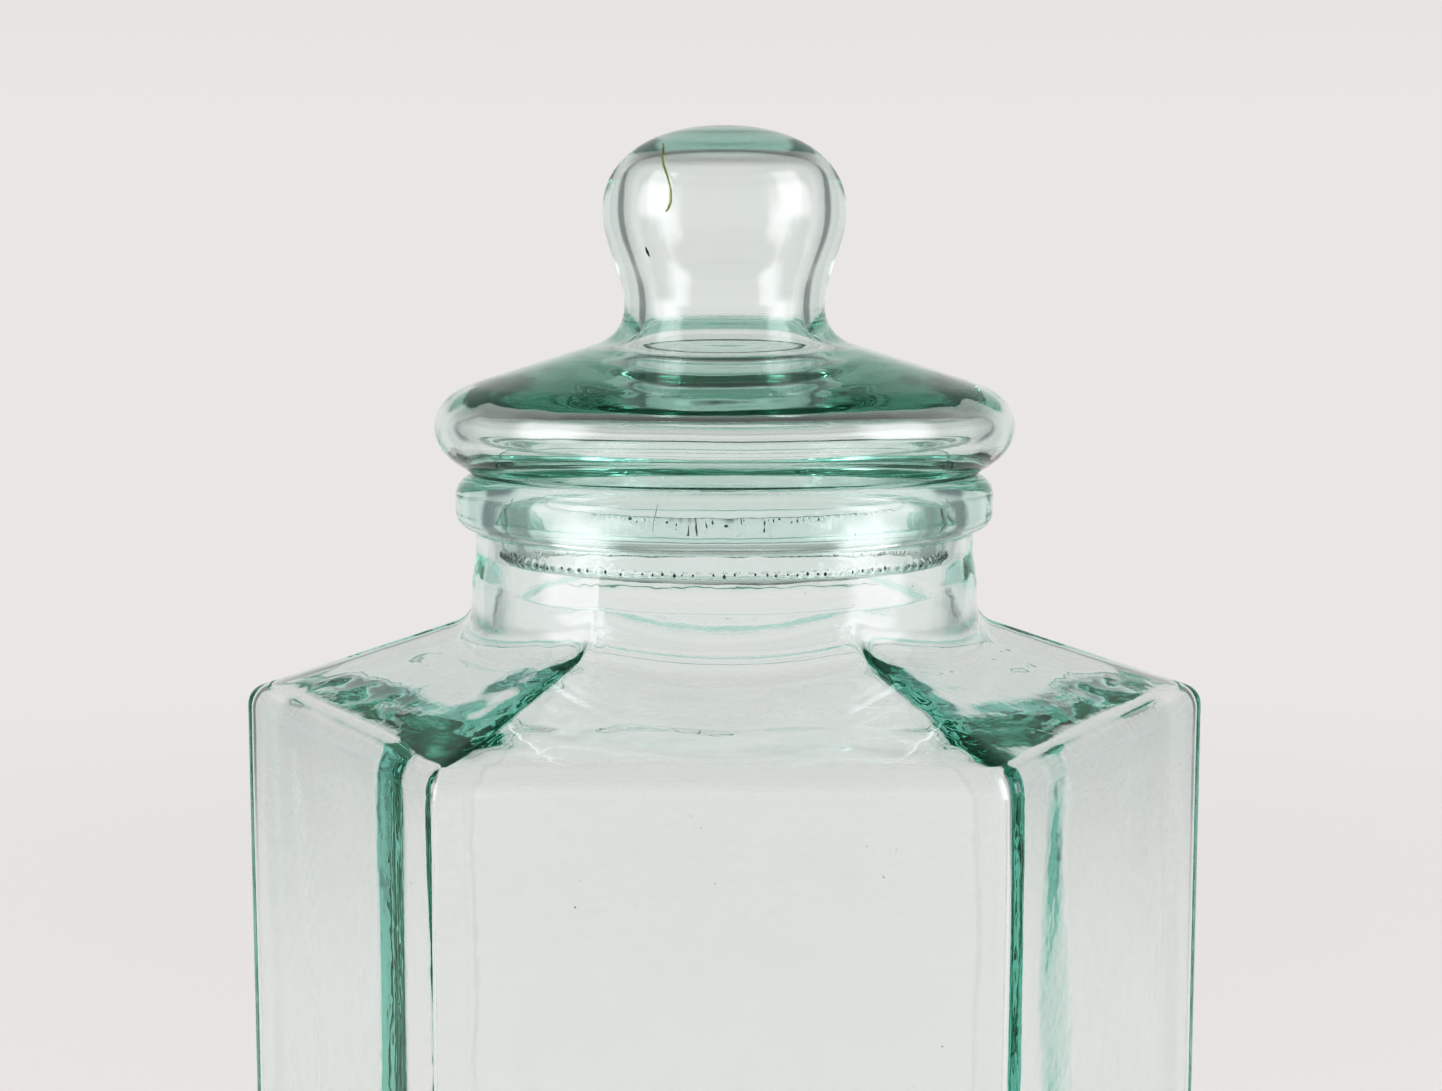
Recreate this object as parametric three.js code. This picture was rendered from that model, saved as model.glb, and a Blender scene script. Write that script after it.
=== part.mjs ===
// Hexagonal glass specimen jar with a lift-off, hollow-knobbed glass lid.
//
// Millimetres, +Z up. The origin is the centre of the foot, so the jar stands on z = 0.
// One flat face looks towards -Y, and two vertical corners point along +X and -X.
import * as THREE from 'three';

// ---------------------------------------------------------------- driving dimensions

const SIDES = 6;
const SECTOR = (2 * Math.PI) / SIDES;

// Body
const APOTHEM = 80.5; // axis to a flat outer face
const WALL = 3.2; // glass thickness on the flat faces
const OUTER_CORNER = 4; // radius of the vertical outer corners
const INNER_CORNER = 6; // radius of the vertical inner corners
const SHOULDER_EDGE_Z = 192.4; // where a flat face meets the shoulder
const SHOULDER_SLOPE = 0.38; // rise over run up the middle of a shoulder face
const SHOULDER_ROUND = 4; // rounding of the outer shoulder edge
const SHOULDER_ROUND_INSIDE = 5;

// Foot
const FLOOR_Z = 7; // top of the glass floor inside
const FLOOR_ROUND = 12; // rounding where the floor meets the walls inside
const HEEL_ROUND = 6;
const PUNT_DEPTH = 2.5; // the middle of the foot is hollowed, so the jar stands on a rim
const PUNT_TOP = 0.7; // reach of the hollow, as a share of the body's radius
const PUNT_RIM = 0.74;

// Neck and mouth
const NECK_RADIUS = 48.4;
const NECK_WAIST_RADIUS = 47.5; // just below the bead
const NECK_STRAIGHT_Z = 214;
const NECK_WAIST_Z = 219.5;
const NECK_FILLET = 5;
const BORE_RADIUS = 44;
const BORE_FILLET = 6;
const BEAD_RADIUS = 51.25;
const BEAD_BOTTOM_Z = 224.5;
const MOUTH_Z = 234.6;
const BEAD_ROUND_TOP = 4;
const BEAD_ROUND_BOTTOM = 3.2;
const BEAD_ROOT = 0.8; // small fillet under the bead
const LIP_ROUND = 1.5; // inner edge of the mouth

// Lid
const SEAT_GAP = 0.3; // working gap between the lid and the mouth
const SEAT_Z = MOUTH_Z + SEAT_GAP;
const SEAT_RADIUS = 48.5;
const SEAT_EDGE = 0.3; // height of the seat's thin outer edge
const PLUG_RADIUS = 42.5;
const PLUG_BORE = 38.2;
const PLUG_BOTTOM_Z = 217.7;
const PLUG_ROOT_DROP = 0.4; // bevel where the seat turns down into the plug
const RIM_RADIUS = 55.06;
const RIM_MIDDLE_Z = 243.5;
// Control points of the curves over and under the rim
const RIM_UPPER_PULL_Z = 247.6;
const RIM_DOME_PULL_RADIUS = 52.1;
const RIM_LOWER_PULL_Z = 239.6;
const RIM_SEAT_PULL = [52.5, 237.5];
const DOME_SLOPE = 0.315;
const DOME_RIM_RADIUS = 48.5;
const DOME_RIM_Z = 251.55;
const RIM_WALL = 4.2; // glass thickness round the rim, which is hollow
const PLUG_INSIDE_Z = 231; // top of the straight part of the plug's bore
// The dome's underside is flatter than its top between two radii
const UNDERSIDE_SLOPE = 0.232;
const UNDERSIDE_START_RADIUS = 24;
const UNDERSIDE_START_DEPTH = 6.5; // straight down from the dome's top there
const UNDERSIDE_END_RADIUS = 45.5;
const UNDERSIDE_RIM_PULL = [48.6, -0.72]; // radius, and height from the underside's end
const RIM_INSIDE_UPPER_PULL_Z = 246;
const RIM_INSIDE_LOWER_PULL_Z = 237.6;
const PLUG_INSIDE_PULL_Z = 238.5;
const KNOB_WAIST_RADIUS = 19.04;
const KNOB_WAIST_Z = 266.2;
const KNOB_FLARE = 7.3; // radius of the flare from the knob's waist into the dome
const KNOB_RADIUS = 23.1;
const KNOB_WIDEST_Z = 284;
const KNOB_TOP_Z = 300;
const KNOB_SQUARENESS = 2.2; // exponent of the superellipse over the knob's top
const HOLLOW_SQUARENESS = 3.2; // the same for the hollow inside it
const KNOB_WALL = 4;
const KNOB_TOP_WALL = 4.6;
const HOLLOW_FLARE_PULL_Z = 255.4; // how far down the hollow's waist stays straight
const HOLLOW_FLARE_PULL_RADIUS = 20;

// Fineness of the faceted surfaces
const LID_SEGMENTS = 48;
// Degrees from a vertical corner to the middle of a flat face, closest round the corner
const COLUMN_OFFSETS = [0, 0.7, 1.25, 1.97, 4.8, 10, 16.5, 23, 30];

// ---------------------------------------------------------------- helpers

const point = (r, z) => new THREE.Vector2(r, z);

/** Distance from the axis to a hexagon with rounded corners, by angle from the nearest corner. */
function hexagonRadius(fromCorner, apothem, cornerRadius) {
  const halfSector = SECTOR / 2;
  const centre = (apothem - cornerRadius) / Math.cos(halfSector);
  const tangentX = centre + cornerRadius * Math.cos(halfSector);
  const tangentY = cornerRadius * Math.sin(halfSector);
  if (fromCorner >= Math.atan2(tangentY, tangentX)) {
    return apothem / Math.cos(halfSector - fromCorner);
  }
  const across = centre * Math.sin(fromCorner);
  return centre * Math.cos(fromCorner) + Math.sqrt(cornerRadius ** 2 - across ** 2);
}

/** Replaces one corner of an outline by an arc of the given radius, in steps + 1 points. */
function roundedCorner(before, corner, after, radius, steps) {
  const back = before.clone().sub(corner).normalize();
  const ahead = after.clone().sub(corner).normalize();
  const halfAngle = Math.acos(THREE.MathUtils.clamp(back.dot(ahead), -1, 1)) / 2;
  const middle = back.clone().add(ahead).normalize();
  const centre = corner.clone().addScaledVector(middle, radius / Math.sin(halfAngle));
  const reach = radius / Math.tan(halfAngle);
  const from = corner.clone().addScaledVector(back, reach).sub(centre);
  const to = corner.clone().addScaledVector(ahead, reach).sub(centre);
  const sweep = Math.atan2(from.cross(to), from.dot(to));
  const arc = [];
  for (let i = 0; i <= steps; i += 1) {
    arc.push(from.clone().rotateAround(new THREE.Vector2(), (sweep * i) / steps).add(centre));
  }
  return arc;
}

/** Turns corners {at, round, steps} into a list of points; a corner with no round stays sharp. */
function roundedOutline(corners) {
  return corners.flatMap(({ at, round, steps }, i) =>
    round ? roundedCorner(corners[i - 1].at, at, corners[i + 1].at, round, steps) : [at]
  );
}

/** Points of a curve, without its first one, which the piece before it already has. */
const curvePoints = (curve, steps) => curve.getPoints(steps).slice(1);

// ---------------------------------------------------------------- jar body

/** Angles of the jar's columns of points: 0 is the middle of the front face. */
function jarColumns() {
  const offsets = COLUMN_OFFSETS.map(THREE.MathUtils.degToRad);
  const inner = offsets.slice(1, -1);
  const columns = [];
  for (let side = 0; side < SIDES; side += 1) {
    const corner = (side + 0.5) * SECTOR;
    columns.push({ angle: side * SECTOR, fromCorner: SECTOR / 2 });
    [...inner].reverse().forEach((o) => columns.push({ angle: corner - o, fromCorner: o }));
    columns.push({ angle: corner, fromCorner: 0 });
    inner.forEach((o) => columns.push({ angle: corner + o, fromCorner: o }));
  }
  return columns;
}

/** Half section of the jar at one column: up the outside, over the mouth, down the inside. */
function jarOutline(fromCorner) {
  const outer = hexagonRadius(fromCorner, APOTHEM, OUTER_CORNER);
  const innerApothem = APOTHEM - WALL;
  const inner = hexagonRadius(fromCorner, innerApothem, INNER_CORNER);
  // The shoulder's level lines are scaled copies of the body's outline.
  const shoulderZ = (r) => SHOULDER_EDGE_Z + SHOULDER_SLOPE * APOTHEM * (1 - r / outer);
  const slopeLength = Math.sqrt(1 + SHOULDER_SLOPE ** 2);
  const innerEdgeZ = SHOULDER_EDGE_Z + WALL * (SHOULDER_SLOPE - slopeLength);
  const innerShoulderZ = (r) => innerEdgeZ + SHOULDER_SLOPE * innerApothem * (1 - r / inner);
  return roundedOutline([
    { at: point(0, PUNT_DEPTH) },
    { at: point(PUNT_TOP * outer, PUNT_DEPTH) },
    { at: point(PUNT_RIM * outer, 0) },
    { at: point(outer, 0), round: HEEL_ROUND, steps: 2 },
    { at: point(outer, SHOULDER_EDGE_Z), round: SHOULDER_ROUND, steps: 3 },
    { at: point(NECK_RADIUS, shoulderZ(NECK_RADIUS)), round: NECK_FILLET, steps: 3 },
    { at: point(NECK_RADIUS, NECK_STRAIGHT_Z) },
    { at: point(NECK_WAIST_RADIUS, NECK_WAIST_Z) },
    { at: point(NECK_WAIST_RADIUS, BEAD_BOTTOM_Z), round: BEAD_ROOT, steps: 1 },
    { at: point(BEAD_RADIUS, BEAD_BOTTOM_Z), round: BEAD_ROUND_BOTTOM, steps: 3 },
    { at: point(BEAD_RADIUS, MOUTH_Z), round: BEAD_ROUND_TOP, steps: 3 },
    { at: point(BORE_RADIUS, MOUTH_Z), round: LIP_ROUND, steps: 1 },
    { at: point(BORE_RADIUS, innerShoulderZ(BORE_RADIUS)), round: BORE_FILLET, steps: 2 },
    { at: point(inner, innerEdgeZ), round: SHOULDER_ROUND_INSIDE, steps: 3 },
    { at: point(inner, FLOOR_Z), round: FLOOR_ROUND, steps: 3 },
    { at: point(0, FLOOR_Z) },
  ]);
}

/** A lathe whose section changes from column to column, from the hexagon to the round neck. */
function jarGeometry() {
  const columns = jarColumns();
  const outlines = columns.map(({ fromCorner }) => jarOutline(fromCorner));
  const geometry = new THREE.LatheGeometry(outlines[0], columns.length);
  const position = geometry.attributes.position;
  const rows = outlines[0].length;
  for (let i = 0; i < position.count; i += 1) {
    const column = Math.floor(i / rows) % columns.length;
    const { x: r, y: z } = outlines[column][i % rows];
    const { angle } = columns[column];
    position.setXYZ(i, r * Math.sin(angle), z, r * Math.cos(angle));
  }
  return geometry.rotateX(Math.PI / 2);
}

// ---------------------------------------------------------------- lid

/** Quarter superellipse from its widest point in to the axis. */
function capPoints(radius, height, baseZ, squareness, steps) {
  const cap = [];
  for (let i = 1; i <= steps; i += 1) {
    const turn = (Math.PI / 2) * (i / steps);
    const r = i === steps ? 0 : radius * Math.cos(turn) ** (2 / squareness);
    cap.push(point(r, baseZ + height * Math.sin(turn) ** (2 / squareness)));
  }
  return cap;
}

/** The knob's side, from its waist up to its widest level, as half a cosine wave. */
function knobSidePoints(waist, widest, bottomZ, topZ, steps) {
  const side = [];
  for (let i = 0; i <= steps; i += 1) {
    const share = i / steps;
    const r = waist + ((widest - waist) * (1 - Math.cos(Math.PI * share))) / 2;
    side.push(point(r, THREE.MathUtils.lerp(bottomZ, topZ, share)));
  }
  return side;
}

/** Height of the dome's top face at a radius. */
const domeZ = (r) => DOME_RIM_Z + DOME_SLOPE * (DOME_RIM_RADIUS - r);

/** The lid's inside, from the knob's waist under the dome, round the rim and down to the plug. */
function lidInsidePoints() {
  const hollowWaist = KNOB_WAIST_RADIUS - KNOB_WALL;
  const rimInside = RIM_RADIUS - RIM_WALL;
  const startZ = domeZ(UNDERSIDE_START_RADIUS) - UNDERSIDE_START_DEPTH;
  const undersideZ = (r) => startZ - UNDERSIDE_SLOPE * (r - UNDERSIDE_START_RADIUS);
  const endZ = undersideZ(UNDERSIDE_END_RADIUS);
  const flare = new THREE.CubicBezierCurve(
    point(hollowWaist, KNOB_WAIST_Z),
    point(hollowWaist, HOLLOW_FLARE_PULL_Z),
    point(HOLLOW_FLARE_PULL_RADIUS, undersideZ(HOLLOW_FLARE_PULL_RADIUS)),
    point(UNDERSIDE_START_RADIUS, startZ));
  const [rimPullRadius, rimPullDrop] = UNDERSIDE_RIM_PULL;
  const rimUpper = new THREE.CubicBezierCurve(
    point(UNDERSIDE_END_RADIUS, endZ),
    point(rimPullRadius, endZ + rimPullDrop),
    point(rimInside, RIM_INSIDE_UPPER_PULL_Z),
    point(rimInside, RIM_MIDDLE_Z));
  const rimLower = new THREE.CubicBezierCurve(
    point(rimInside, RIM_MIDDLE_Z),
    point(rimInside, RIM_INSIDE_LOWER_PULL_Z),
    point(PLUG_BORE, PLUG_INSIDE_PULL_Z),
    point(PLUG_BORE, PLUG_INSIDE_Z));
  return [
    ...curvePoints(flare, 4),
    ...rimUpper.getPoints(4),
    ...curvePoints(rimLower, 6),
  ];
}

/** Half section of the lid, from the top of the hollow down and round to the top of the knob. */
function lidOutline() {
  const plugTip = (PLUG_RADIUS - PLUG_BORE) / 2;
  const plugMiddle = PLUG_BORE + plugTip;
  const domeAngle = Math.atan(DOME_SLOPE);

  const hollowWaist = KNOB_WAIST_RADIUS - KNOB_WALL;
  const hollowRadius = KNOB_RADIUS - KNOB_WALL;
  const hollowTop = KNOB_TOP_Z - KNOB_TOP_WALL;
  const hollowCap = capPoints(
    hollowRadius, hollowTop - KNOB_WIDEST_Z, KNOB_WIDEST_Z, HOLLOW_SQUARENESS, 5);
  const hollowSide = knobSidePoints(hollowWaist, hollowRadius, KNOB_WAIST_Z, KNOB_WIDEST_Z, 4);

  const plugEnd = new THREE.Path();
  plugEnd.absarc(plugMiddle, PLUG_BOTTOM_Z + plugTip, plugTip, Math.PI, 2 * Math.PI, false);
  const rimBelow = new THREE.CubicBezierCurve(
    point(SEAT_RADIUS, SEAT_Z + SEAT_EDGE), point(...RIM_SEAT_PULL),
    point(RIM_RADIUS, RIM_LOWER_PULL_Z), point(RIM_RADIUS, RIM_MIDDLE_Z));
  const rimAbove = new THREE.CubicBezierCurve(
    point(RIM_RADIUS, RIM_MIDDLE_Z), point(RIM_RADIUS, RIM_UPPER_PULL_Z),
    point(RIM_DOME_PULL_RADIUS, domeZ(RIM_DOME_PULL_RADIUS)), point(DOME_RIM_RADIUS, DOME_RIM_Z));
  const flare = new THREE.Path();
  flare.absarc(
    KNOB_WAIST_RADIUS + KNOB_FLARE, KNOB_WAIST_Z, KNOB_FLARE,
    1.5 * Math.PI - domeAngle, Math.PI, true);

  return [
    ...hollowCap.reverse(),
    ...hollowSide.reverse(),
    ...lidInsidePoints(),
    ...plugEnd.getPoints(4),
    point(PLUG_RADIUS, SEAT_Z - PLUG_ROOT_DROP),
    point(PLUG_RADIUS + PLUG_ROOT_DROP, SEAT_Z),
    point(SEAT_RADIUS, SEAT_Z),
    ...rimBelow.getPoints(4),
    ...curvePoints(rimAbove, 4),
    ...flare.getPoints(4),
    ...knobSidePoints(KNOB_WAIST_RADIUS, KNOB_RADIUS, KNOB_WAIST_Z, KNOB_WIDEST_Z, 5).slice(1),
    ...capPoints(KNOB_RADIUS, KNOB_TOP_Z - KNOB_WIDEST_Z, KNOB_WIDEST_Z, KNOB_SQUARENESS, 6),
  ];
}

// ---------------------------------------------------------------- assembly

/** Pale aqua-green glass; each piece has a material of its own. */
function glass(name) {
  return new THREE.MeshStandardMaterial({
    name,
    color: 0xc9dcd3,
    roughness: 0.05,
    metalness: 0,
    transparent: true,
    opacity: 0.4,
  });
}

const jarBody = new THREE.Mesh(jarGeometry(), glass('jar_glass'));
jarBody.name = 'jar_body';

const lid = new THREE.Mesh(
  new THREE.LatheGeometry(lidOutline(), LID_SEGMENTS).rotateX(Math.PI / 2),
  glass('lid_glass'));
lid.name = 'lid';

const jar = new THREE.Group();
jar.add(jarBody, lid);

export default jar;
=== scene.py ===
import math
import random

import bpy
import numpy as np
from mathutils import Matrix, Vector, noise


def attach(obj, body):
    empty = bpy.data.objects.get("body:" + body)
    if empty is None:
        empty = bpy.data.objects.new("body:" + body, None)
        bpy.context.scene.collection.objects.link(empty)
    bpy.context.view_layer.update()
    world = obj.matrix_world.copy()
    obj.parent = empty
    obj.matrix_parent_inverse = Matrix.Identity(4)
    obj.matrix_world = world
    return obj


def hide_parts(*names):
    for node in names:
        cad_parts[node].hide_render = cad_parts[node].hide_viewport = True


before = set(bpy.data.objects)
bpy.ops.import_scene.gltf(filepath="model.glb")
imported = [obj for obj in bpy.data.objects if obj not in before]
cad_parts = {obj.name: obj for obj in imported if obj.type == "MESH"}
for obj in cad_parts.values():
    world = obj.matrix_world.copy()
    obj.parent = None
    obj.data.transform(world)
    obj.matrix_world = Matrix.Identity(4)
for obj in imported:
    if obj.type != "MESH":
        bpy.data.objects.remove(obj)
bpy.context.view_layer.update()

MM = 0.001

# ------------------------------------------------------------ jar dimensions, in mm

SIDES = 6
SECTOR = 2 * math.pi / SIDES
COLUMNS_PER_HALF = 28
COLUMN_CROWDING = 1.6

APOTHEM = 80.5
WALL = 3.2
# Each wall gets thinner towards its two corners: (how much, how far from the side's middle).
# Side 0 looks towards -Y, the sides are numbered towards +X, and the lower angle comes first.
SIDE_THINNING = [
    ((1.5, 31.0), (1.4, 31.0)),
    ((0.5, 20.0), (0.9, 26.0)),
    ((0.9, 24.0), (0.6, 28.0)),
    ((0.5, 28.0), (0.5, 28.0)),
    ((0.6, 28.0), (1.0, 24.0)),
    ((0.8, 27.0), (1.8, 20.0)),
]
RAMP_WIDTH = 15.0
# Rounds of the search for where a direction meets a wall.
FACE_ROUNDS = 12
# How softly two walls meet inside; corner 0 is between sides 0 and 1.
CORNER_BLEND = [2.4, 3.0, 3.0, 3.0, 3.0, 0.8]
OUTER_CORNER = 4.0

SHOULDER_EDGE_Z = 192.4
SHOULDER_SLOPE = 0.38
SHOULDER_ROUND = 4.0
SHOULDER_ROUND_INSIDE = 4.0
SHOULDER_EDGE_WALL = 1.8
# How much thicker each side's shoulder is above its lower edge.
SHOULDER_THICKENING = [0.7, 2.0, 1.3, 0.9, 1.3, 2.0]
SHOULDER_RAMP = 0.82
SHOULDER_BLEND = math.radians(7)
FLOOR_Z = 7.0
FLOOR_ROUND = 12.0
HEEL_ROUND = 6.0
PUNT_DEPTH = 2.5
PUNT_TOP = 0.70
PUNT_RIM = 0.74

NECK_RADIUS = 48.4
NECK_WAIST_RADIUS = 47.5
NECK_STRAIGHT_Z = 214.0
NECK_WAIST_Z = 219.5
NECK_FILLET = 5.0
BORE_RADIUS = 44.0
BORE_FILLET = 12.0
BEAD_RADIUS = 51.25
BEAD_BOTTOM_Z = 224.5
MOUTH_Z = 234.6
BEAD_ROUND_TOP = 4.0
BEAD_ROUND_BOTTOM = 3.2
BEAD_ROOT = 0.8
LIP_ROUND = 1.5
NECK_BEND = 6.0
WAIST_BEND = 4.0
RAMP_BEND = 50.0

# ------------------------------------------------------------ lid dimensions, in mm

LID_COLUMNS = 600
SEAT_GAP = 0.3
SEAT_Z = MOUTH_Z + SEAT_GAP
SEAT_RADIUS = 48.5
PLUG_RADIUS = 42.5
PLUG_BORE = 38.2
PLUG_BOTTOM_Z = 217.7
PLUG_CHAMFER = 0.4
PLUG_INSIDE_Z = 231.0
RIM_RADIUS = 55.06
RIM_MIDDLE_Z = 243.5
RIM_WALL = 4.2
DOME_SLOPE = 0.315
DOME_RIM_RADIUS = 48.5
DOME_RIM_Z = 251.55
DOME_THICKNESS_Z = 5.4
INSIDE_SLOPE = 0.232
INSIDE_START = 24.0
INSIDE_END = 45.5
INSIDE_DROP = 1.1
# Pull points of the curves: (radius, z), or one of the two where the other follows from the shape.
FLARE_PULL_RISE = 2.0
FLARE_PULL_RADIUS = 18.5
INSIDE_RIM_PULL_RADIUS = 48.6
INSIDE_RIM_UPPER_PULL_Z = 246.0
INSIDE_RIM_LOWER_PULL_Z = 238.2
PLUG_INSIDE_PULL_Z = 239.4
SEAT_EDGE_RISE = 0.3
RIM_UNDER_PULL = (52.5, 237.5)
RIM_LOWER_PULL_Z = 239.6
RIM_UPPER_PULL_Z = 247.6
RIM_TOP_PULL_RADIUS = 52.1
DOME_TOP_RADIUS = 26.0
PLUG_TIP_RUN = 1.2
KNOB_WAIST_RADIUS = 19.04
KNOB_WAIST_Z = 266.2
KNOB_FLARE = 7.3
KNOB_RADIUS = 23.1
KNOB_WIDEST_Z = 284.0
KNOB_TOP_Z = 300.0
KNOB_SQUARENESS = 2.2
HOLLOW_SQUARENESS = 3.2
KNOB_WALL = 4.0
KNOB_TOP_WALL = 4.6

# ------------------------------------------------------------ surface irregularities, in mm

# A wave is long noise plus noise that is this much finer, each with its own share.
FINE_WAVES = 2.3
LONG_SHARE = 1.6
FINE_SHARE = 0.6
# Wave lengths are (round the jar, along Z); a ramp is where a wave starts and is at its full height.
WALL_WAVE = 0.22
WALL_WAVE_LENGTHS = (22, 70)
WALL_BOTTOM_RAMP = (16, 40)
WALL_TOP_RAMP = (176, 190)
SHOULDER_WAVE = 0.15
SHOULDER_WAVE_LENGTHS = (30, 3.2)
SHOULDER_Z_RAMP = (184, 190)
SHOULDER_R_RAMP = (45, 52)
SHOULDER_RINGS = 0.035
RING_PITCH = 6.5
NECK_WAVE = 0.09
NECK_WAVE_LENGTHS = (18, 26)
NECK_BOTTOM_RAMP = (206, 212)
NECK_TOP_RAMP = (226, 232)
NECK_R_RAMP = (44, 46)
SEAM_BOTTOM_RAMP = (205, 209)
SEAM_TOP_RAMP = (220, 223)
SEAM_ANGLE = math.radians(-27)
SEAM_WIDTH = math.radians(0.8)
SEAM_HEIGHT = 0.16
KNURLS = 120
KNURL_HEIGHT = 0.50
KNURL_Z = 219.9
KNURL_SPREAD = 0.50
MARKS = 150
MARKS_MISSING = 0.25
MARKS_Z = KNURL_Z
MARKS_Z_SPREAD = 0.25
MARKS_STEP_SPREAD = 0.2
MARKS_RADIUS = PLUG_RADIUS + 0.05
MARK_SIZES = (0.17, 0.32)
LIP_WAVE = 0.14
LIP_WAVE_LENGTHS = (9, 10)
LIP_RAMP = (217.9, 220)
PLUG_WAVE = 0.05
PLUG_WAVE_LENGTHS = (3.5, 40)
PLUG_TWIST = 1 / 60
PLUG_R_RAMP = (41.2, 41.8)
PLUG_TOP_RAMP = (230, 233.5)
LID_WAVE = 0.07
LID_WAVE_LENGTHS = (14, 10)
DOME_R_RAMP = (20, 28)
DOME_Z_RAMP = (236, 242)

# Where in the noise each wave is taken from.
WALL_NOISE_AT = 3.0
NECK_NOISE_AT = 11.0
SHOULDER_NOISE_AT = 7.0
PLUG_NOISE_AT = 5.0
LIP_NOISE_AT = 2.0
LID_NOISE_AT = 21.0
# Rows after the bead's first highest one that still count as the outside.
MOUTH_ROWS = 8

# ------------------------------------------------------------ outline helpers


def smoothstep(x, low, high):
    t = min(max((x - low) / (high - low), 0.0), 1.0)
    return t * t * (3 - 2 * t)


def fading(x, low, high):
    """One below low, zero above high."""
    return 1.0 - smoothstep(x, low, high)


def hexagon_radius(from_corner, apothem, corner_radius):
    half = SECTOR / 2
    centre = (apothem - corner_radius) / math.cos(half)
    tangent = math.atan2(corner_radius * math.sin(half), centre + corner_radius * math.cos(half))
    if from_corner >= tangent:
        return apothem / math.cos(half - from_corner)
    across = centre * math.sin(from_corner)
    return centre * math.cos(from_corner) + math.sqrt(corner_radius**2 - across**2)


def rounded_corner(before, corner, after, radius, steps):
    before, corner, after = (np.array(p, float) for p in (before, corner, after))
    back = (before - corner) / np.linalg.norm(before - corner)
    ahead = (after - corner) / np.linalg.norm(after - corner)
    half_angle = math.acos(max(-1, min(1, float(back @ ahead)))) / 2
    middle = (back + ahead) / np.linalg.norm(back + ahead)
    centre = corner + middle * radius / math.sin(half_angle)
    reach = radius / math.tan(half_angle)
    start = corner + back * reach - centre
    end = corner + ahead * reach - centre
    sweep = math.atan2(start[0] * end[1] - start[1] * end[0], float(start @ end))
    turns = [sweep * i / steps for i in range(steps + 1)]
    return [
        centre + (start[0] * math.cos(t) - start[1] * math.sin(t),
                  start[0] * math.sin(t) + start[1] * math.cos(t))
        for t in turns
    ]


def rounded_outline(corners):
    """corners: (point, radius, arc steps, steps of the straight run after it)."""
    runs = []
    for i, (at, radius, steps, after) in enumerate(corners):
        if radius:
            arc_points = rounded_corner(corners[i - 1][0], at, corners[i + 1][0], radius, steps)
        else:
            arc_points = [np.array(at, float)]
        runs.append((arc_points, after))
    points = []
    for i, (arc_points, after) in enumerate(runs):
        points += arc_points
        if i + 1 < len(runs):
            end = runs[i + 1][0][0]
            for k in range(1, after):
                points.append(arc_points[-1] + (end - arc_points[-1]) * k / after)
    return np.array(points)


def bezier(points, steps):
    points = [np.array(p, float) for p in points]
    out = []
    for i in range(steps + 1):
        t = i / steps
        level = points
        while len(level) > 1:
            level = [a * (1 - t) + b * t for a, b in zip(level, level[1:])]
        out.append(level[0])
    return out


def line(a, b, steps):
    a, b = np.array(a, float), np.array(b, float)
    return [a + (b - a) * i / steps for i in range(steps + 1)]


def arc(centre_r, centre_z, radius, start, end, steps):
    turns = [start + (end - start) * i / steps for i in range(steps + 1)]
    return [(centre_r + radius * math.cos(t), centre_z + radius * math.sin(t)) for t in turns]


def joined(*runs):
    out = []
    for run in runs:
        for p in run:
            if not out or np.linalg.norm(np.array(p) - out[-1]) > 1e-6:
                out.append(np.array(p, float))
    return np.array(out)


# ------------------------------------------------------------ mesh helpers


def new_piece(name, verts, faces):
    mesh = bpy.data.meshes.new(name)
    mesh.from_pydata(verts, [], faces)
    mesh.polygons.foreach_set("use_smooth", [True] * len(mesh.polygons))
    mesh.update()
    piece = bpy.data.objects.new(name, mesh)
    bpy.context.scene.collection.objects.link(piece)
    return piece


def swept_piece(name, angles, outlines, shift):
    """A closed mesh from one outline per angle; each outline starts and ends on the axis.

    shift(angle, row, r, z) gives a small move along r and z, in mm.
    """
    columns = len(angles)
    inner = outlines[0].shape[0] - 2
    verts = [(0.0, 0.0, outlines[0][0][1] * MM)]
    for angle, outline in zip(angles, outlines):
        side, front = math.sin(angle), -math.cos(angle)
        for row, (r, z) in enumerate(outline[1:-1], 1):
            dr, dz = shift(angle, row, r, z)
            verts.append(((r + dr) * side * MM, (r + dr) * front * MM, (z + dz) * MM))
    verts.append((0.0, 0.0, outlines[0][-1][1] * MM))
    last = len(verts) - 1

    def at(column, k):
        return 1 + (column % columns) * inner + k

    faces = []
    for c in range(columns):
        faces.append((0, at(c + 1, 0), at(c, 0)))
        for k in range(inner - 1):
            faces.append((at(c, k), at(c + 1, k), at(c + 1, k + 1), at(c, k + 1)))
        faces.append((at(c, inner - 1), at(c + 1, inner - 1), last))
    return new_piece(name, verts, faces)


def wave(angle, radius, z, lengths, seed):
    """Smooth noise between about -1 and 1; lengths are the wave's sizes round and along Z, in mm."""
    round_size, up_size = lengths
    x = radius * math.sin(angle) / round_size
    y = radius * math.cos(angle) / round_size
    low = noise.noise(Vector((x + seed, y, z / up_size)))
    fine_x, fine_y, fine_z = x * FINE_WAVES, y * FINE_WAVES, z * FINE_WAVES
    high = noise.noise(Vector((fine_x, fine_y + seed, fine_z / up_size)))
    return LONG_SHARE * low + FINE_SHARE * high


# ------------------------------------------------------------ jar


def face_radius(side, off_face):
    """Distance from the axis to the inside of one wall, at a signed angle from its middle."""
    thinning, ramp_start = SIDE_THINNING[side % SIDES][1 if off_face > 0 else 0]
    r = APOTHEM - WALL
    for _ in range(FACE_ROUNDS):
        along = abs(r * math.sin(off_face))
        wall = WALL - thinning * smoothstep(along, ramp_start, ramp_start + RAMP_WIDTH)
        r = (APOTHEM - wall) / math.cos(off_face)
    return r


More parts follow.
